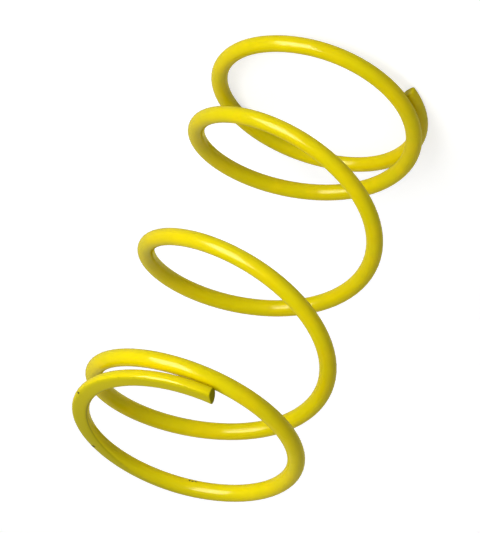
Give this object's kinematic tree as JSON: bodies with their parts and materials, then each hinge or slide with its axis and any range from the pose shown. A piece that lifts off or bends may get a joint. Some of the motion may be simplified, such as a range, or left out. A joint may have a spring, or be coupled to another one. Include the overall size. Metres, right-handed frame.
{
  "type": "driven pulley spring",
  "caption": "Left-hand coil compression spring of round wire with closed, ground ends and a glossy painted finish, made to load a driven belt pulley.",
  "frame": {"origin": "on the coil's axis, in the plane of the bottom ground seat", "axes": "+Z along the coil's axis towards the top seat, +X through the bottom tip of the wire"},
  "size_m": [0.064, 0.064, 0.12],
  "materials": {
    "yellow_enamel": "glossy yellow enamel on steel wire, with small dark chips on the ground edges"
  },
  "bodies": {
    "root": {"coil_spring": "yellow_enamel"}
  },
  "joints": []
}
